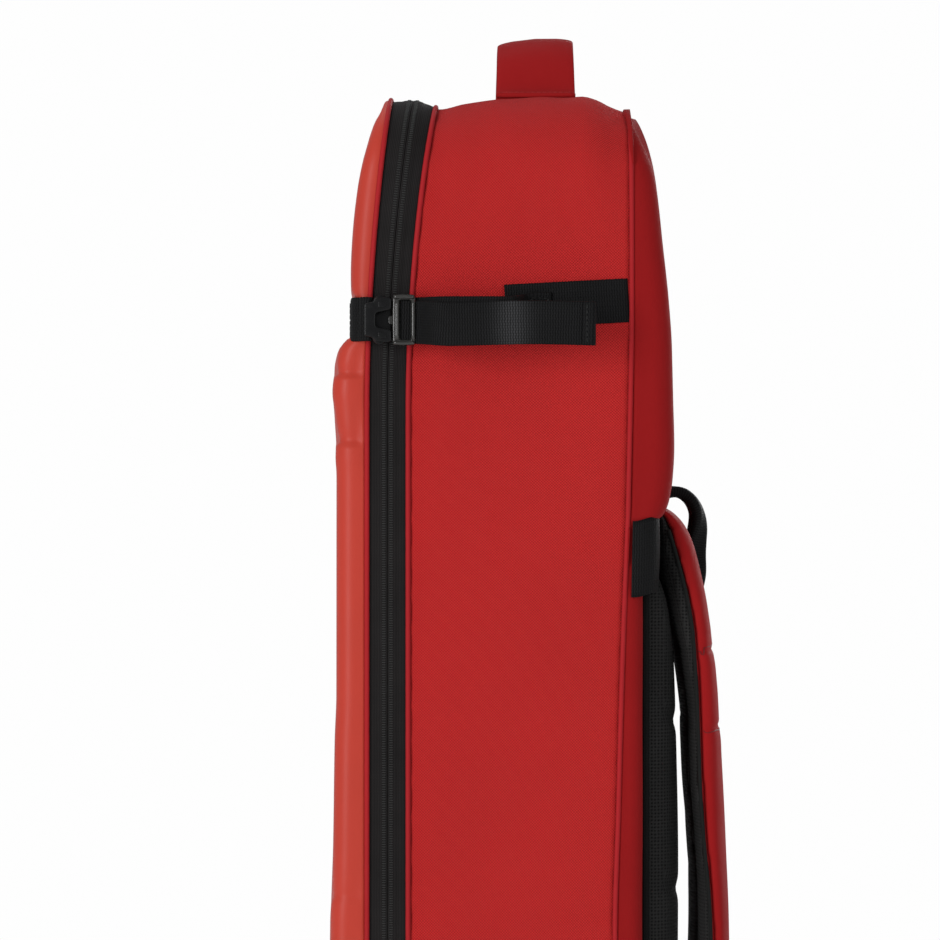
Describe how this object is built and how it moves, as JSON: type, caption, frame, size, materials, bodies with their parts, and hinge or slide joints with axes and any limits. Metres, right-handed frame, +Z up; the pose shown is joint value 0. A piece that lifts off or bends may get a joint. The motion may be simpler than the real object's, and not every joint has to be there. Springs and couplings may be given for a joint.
{
  "type": "hockey stick bag",
  "caption": "Tall red hockey stick bag with a zipped moulded front lid, side stick strap with buckle, top handle and backpack straps.",
  "frame": {"origin": "on the resting face of the base, below the middle of the shell's depth and width", "axes": "+Z up; the moulded lid faces -X, the backpack harness +X; the stick strap is on the -Y side"},
  "size_m": [0.2292, 0.2767, 1.021],
  "materials": {
    "shell_fabric": "plain-woven coated polyester",
    "lid_coating": "smooth coated fabric on moulded foam, satin",
    "piping": "woven tape over cord",
    "foam": "closed-cell foam",
    "board": "extruded sheet",
    "base_coating": "heavy coated tarpaulin",
    "zip_tape": "woven zip tape",
    "zip_coil": "nylon coil",
    "webbing": "ribbed polypropylene webbing",
    "spacer_mesh": "knitted spacer mesh",
    "strap_fabric": "woven polyester over foam",
    "buckle_plastic": "moulded acetal, satin",
    "zip_metal": "black painted zinc"
  },
  "bodies": {
    "bag_body": {"near_side_panel": "shell_fabric", "far_side_panel": "shell_fabric", "near_side_foam": "foam", "far_side_foam": "foam", "top_panel": "shell_fabric", "back_panel": "shell_fabric", "back_foam": "foam", "back_framesheet": "board", "upper_back_pad": "shell_fabric", "base_panel": "base_coating", "base_board": "board", "front_sill": "base_coating", "body_zip_tape": "zip_tape", "body_zip_teeth": "zip_coil", "body_piping": "piping", "rear_piping": "piping", "stick_strap_anchor": "webbing", "stick_sleeve": "shell_fabric", "shoulder_yoke": "webbing", "anchor_patch_right": "webbing", "anchor_patch_left": "webbing", "back_mesh_pad_right": "spacer_mesh", "back_mesh_pad_left": "spacer_mesh", "lower_anchor_right": "webbing", "lower_anchor_left": "webbing", "handle_end_near": "strap_fabric", "handle_end_far": "strap_fabric", "lid_hinge_strip": "lid_coating", "lower_webbing_right": "webbing", "lower_webbing_left": "webbing"},
    "front_lid": {"lid_shell": "lid_coating", "lid_near_wall": "lid_coating", "lid_far_wall": "lid_coating", "lid_top_wall": "lid_coating", "lid_bottom_wall": "lid_coating", "lid_zip_tape": "zip_tape", "lid_zip_teeth": "zip_coil", "lid_piping": "piping", "lid_mesh_pocket": "spacer_mesh", "front_webbing": "webbing", "buckle_housing": "buckle_plastic"},
    "stick_strap": {"buckle_plug": "buckle_plastic", "stick_strap_arch": "webbing", "strap_tail": "webbing"},
    "latch_upper": {"latch_arm_upper": "buckle_plastic"},
    "latch_lower": {"latch_arm_lower": "buckle_plastic"},
    "slider_upper": {"zip_slider_upper": "zip_metal"},
    "slider_lower": {"zip_slider_lower": "zip_metal"},
    "pull_upper": {"zip_pull_upper": "zip_metal"},
    "pull_lower": {"zip_pull_lower": "zip_metal"},
    "handle": {"carry_handle": "strap_fabric"},
    "haul": {"haul_loop": "webbing"},
    "strap_right": {"shoulder_pad_right": "strap_fabric", "shoulder_mesh_right": "spacer_mesh"},
    "strap_left": {"shoulder_pad_left": "strap_fabric", "shoulder_mesh_left": "spacer_mesh"},
    "lock_right": {"ladder_lock_right": "buckle_plastic"},
    "lock_left": {"ladder_lock_left": "buckle_plastic"}
  },
  "joints": [
    {"name": "lid_hinge", "type": "hinge", "parent": "bag_body", "child": "front_lid", "pos_m": [-0.0698, 0, 0.028], "axis": [0, -1, 0], "range_deg": [0, 90], "deforming": ["lid_hinge_strip"]},
    {"name": "buckle_release", "type": "slide", "parent": "bag_body", "child": "stick_strap", "axis": [1, 0, 0], "range_m": [0, 0.024]},
    {"name": "latch_upper_squeeze", "type": "hinge", "parent": "stick_strap", "child": "latch_upper", "pos_m": [-0.054, -0.127, 0.8638], "axis": [0, -1, 0], "range_deg": [0, 6], "stiffness_Nm_per_rad": 0.001},
    {"name": "latch_lower_squeeze", "type": "hinge", "parent": "stick_strap", "child": "latch_lower", "pos_m": [-0.054, -0.127, 0.8452], "axis": [0, -1, 0], "range_deg": [-6, 0], "stiffness_Nm_per_rad": 0.001},
    {"name": "slider_upper_travel", "type": "slide", "parent": "bag_body", "child": "slider_upper", "axis": [0, 0, 1], "range_m": [0, 0.16]},
    {"name": "slider_lower_travel", "type": "slide", "parent": "bag_body", "child": "slider_lower", "axis": [0, 0, 1], "range_m": [-0.54, 0]},
    {"name": "pull_upper_lift", "type": "hinge", "parent": "slider_upper", "child": "pull_upper", "pos_m": [-0.0569, 0.1242, 0.66], "axis": [1, 0, 0], "range_deg": [0, 150]},
    {"name": "pull_lower_lift", "type": "hinge", "parent": "slider_lower", "child": "pull_lower", "pos_m": [-0.0569, 0.1242, 0.62], "axis": [1, 0, 0], "range_deg": [0, 150]},
    {"name": "carry_handle_tilt", "type": "hinge", "parent": "bag_body", "child": "handle", "pos_m": [0.028, 0, 0.981], "axis": [0, 1, 0], "range_deg": [-20, 20], "stiffness_Nm_per_rad": 0.3, "deforming": ["handle_end_near", "handle_end_far"]},
    {"name": "haul_loop_lift", "type": "hinge", "parent": "bag_body", "child": "haul", "pos_m": [0.106, 0, 0.752], "axis": [0, -1, 0], "range_deg": [0, 55]},
    {"name": "shoulder_strap_right_swing", "type": "hinge", "parent": "bag_body", "child": "strap_right", "pos_m": [0.098, -0.062, 0.738], "axis": [0, -1, 0], "range_deg": [0, 18], "deforming": ["lower_webbing_right"]},
    {"name": "shoulder_strap_left_swing", "type": "hinge", "parent": "bag_body", "child": "strap_left", "pos_m": [0.098, 0.062, 0.738], "axis": [0, -1, 0], "range_deg": [0, 18], "deforming": ["lower_webbing_left"]},
    {"name": "ladder_lock_right_tilt", "type": "hinge", "parent": "strap_right", "child": "lock_right", "pos_m": [0.1205, -0.062, 0.3477], "axis": [0, -1, 0], "range_deg": [0, 40]},
    {"name": "ladder_lock_left_tilt", "type": "hinge", "parent": "strap_left", "child": "lock_left", "pos_m": [0.1205, 0.062, 0.3477], "axis": [0, -1, 0], "range_deg": [0, 40]}
  ],
  "couplings": [
    {"joint": "latch_lower_squeeze", "follows": "latch_upper_squeeze", "ratio": -1}
  ]
}
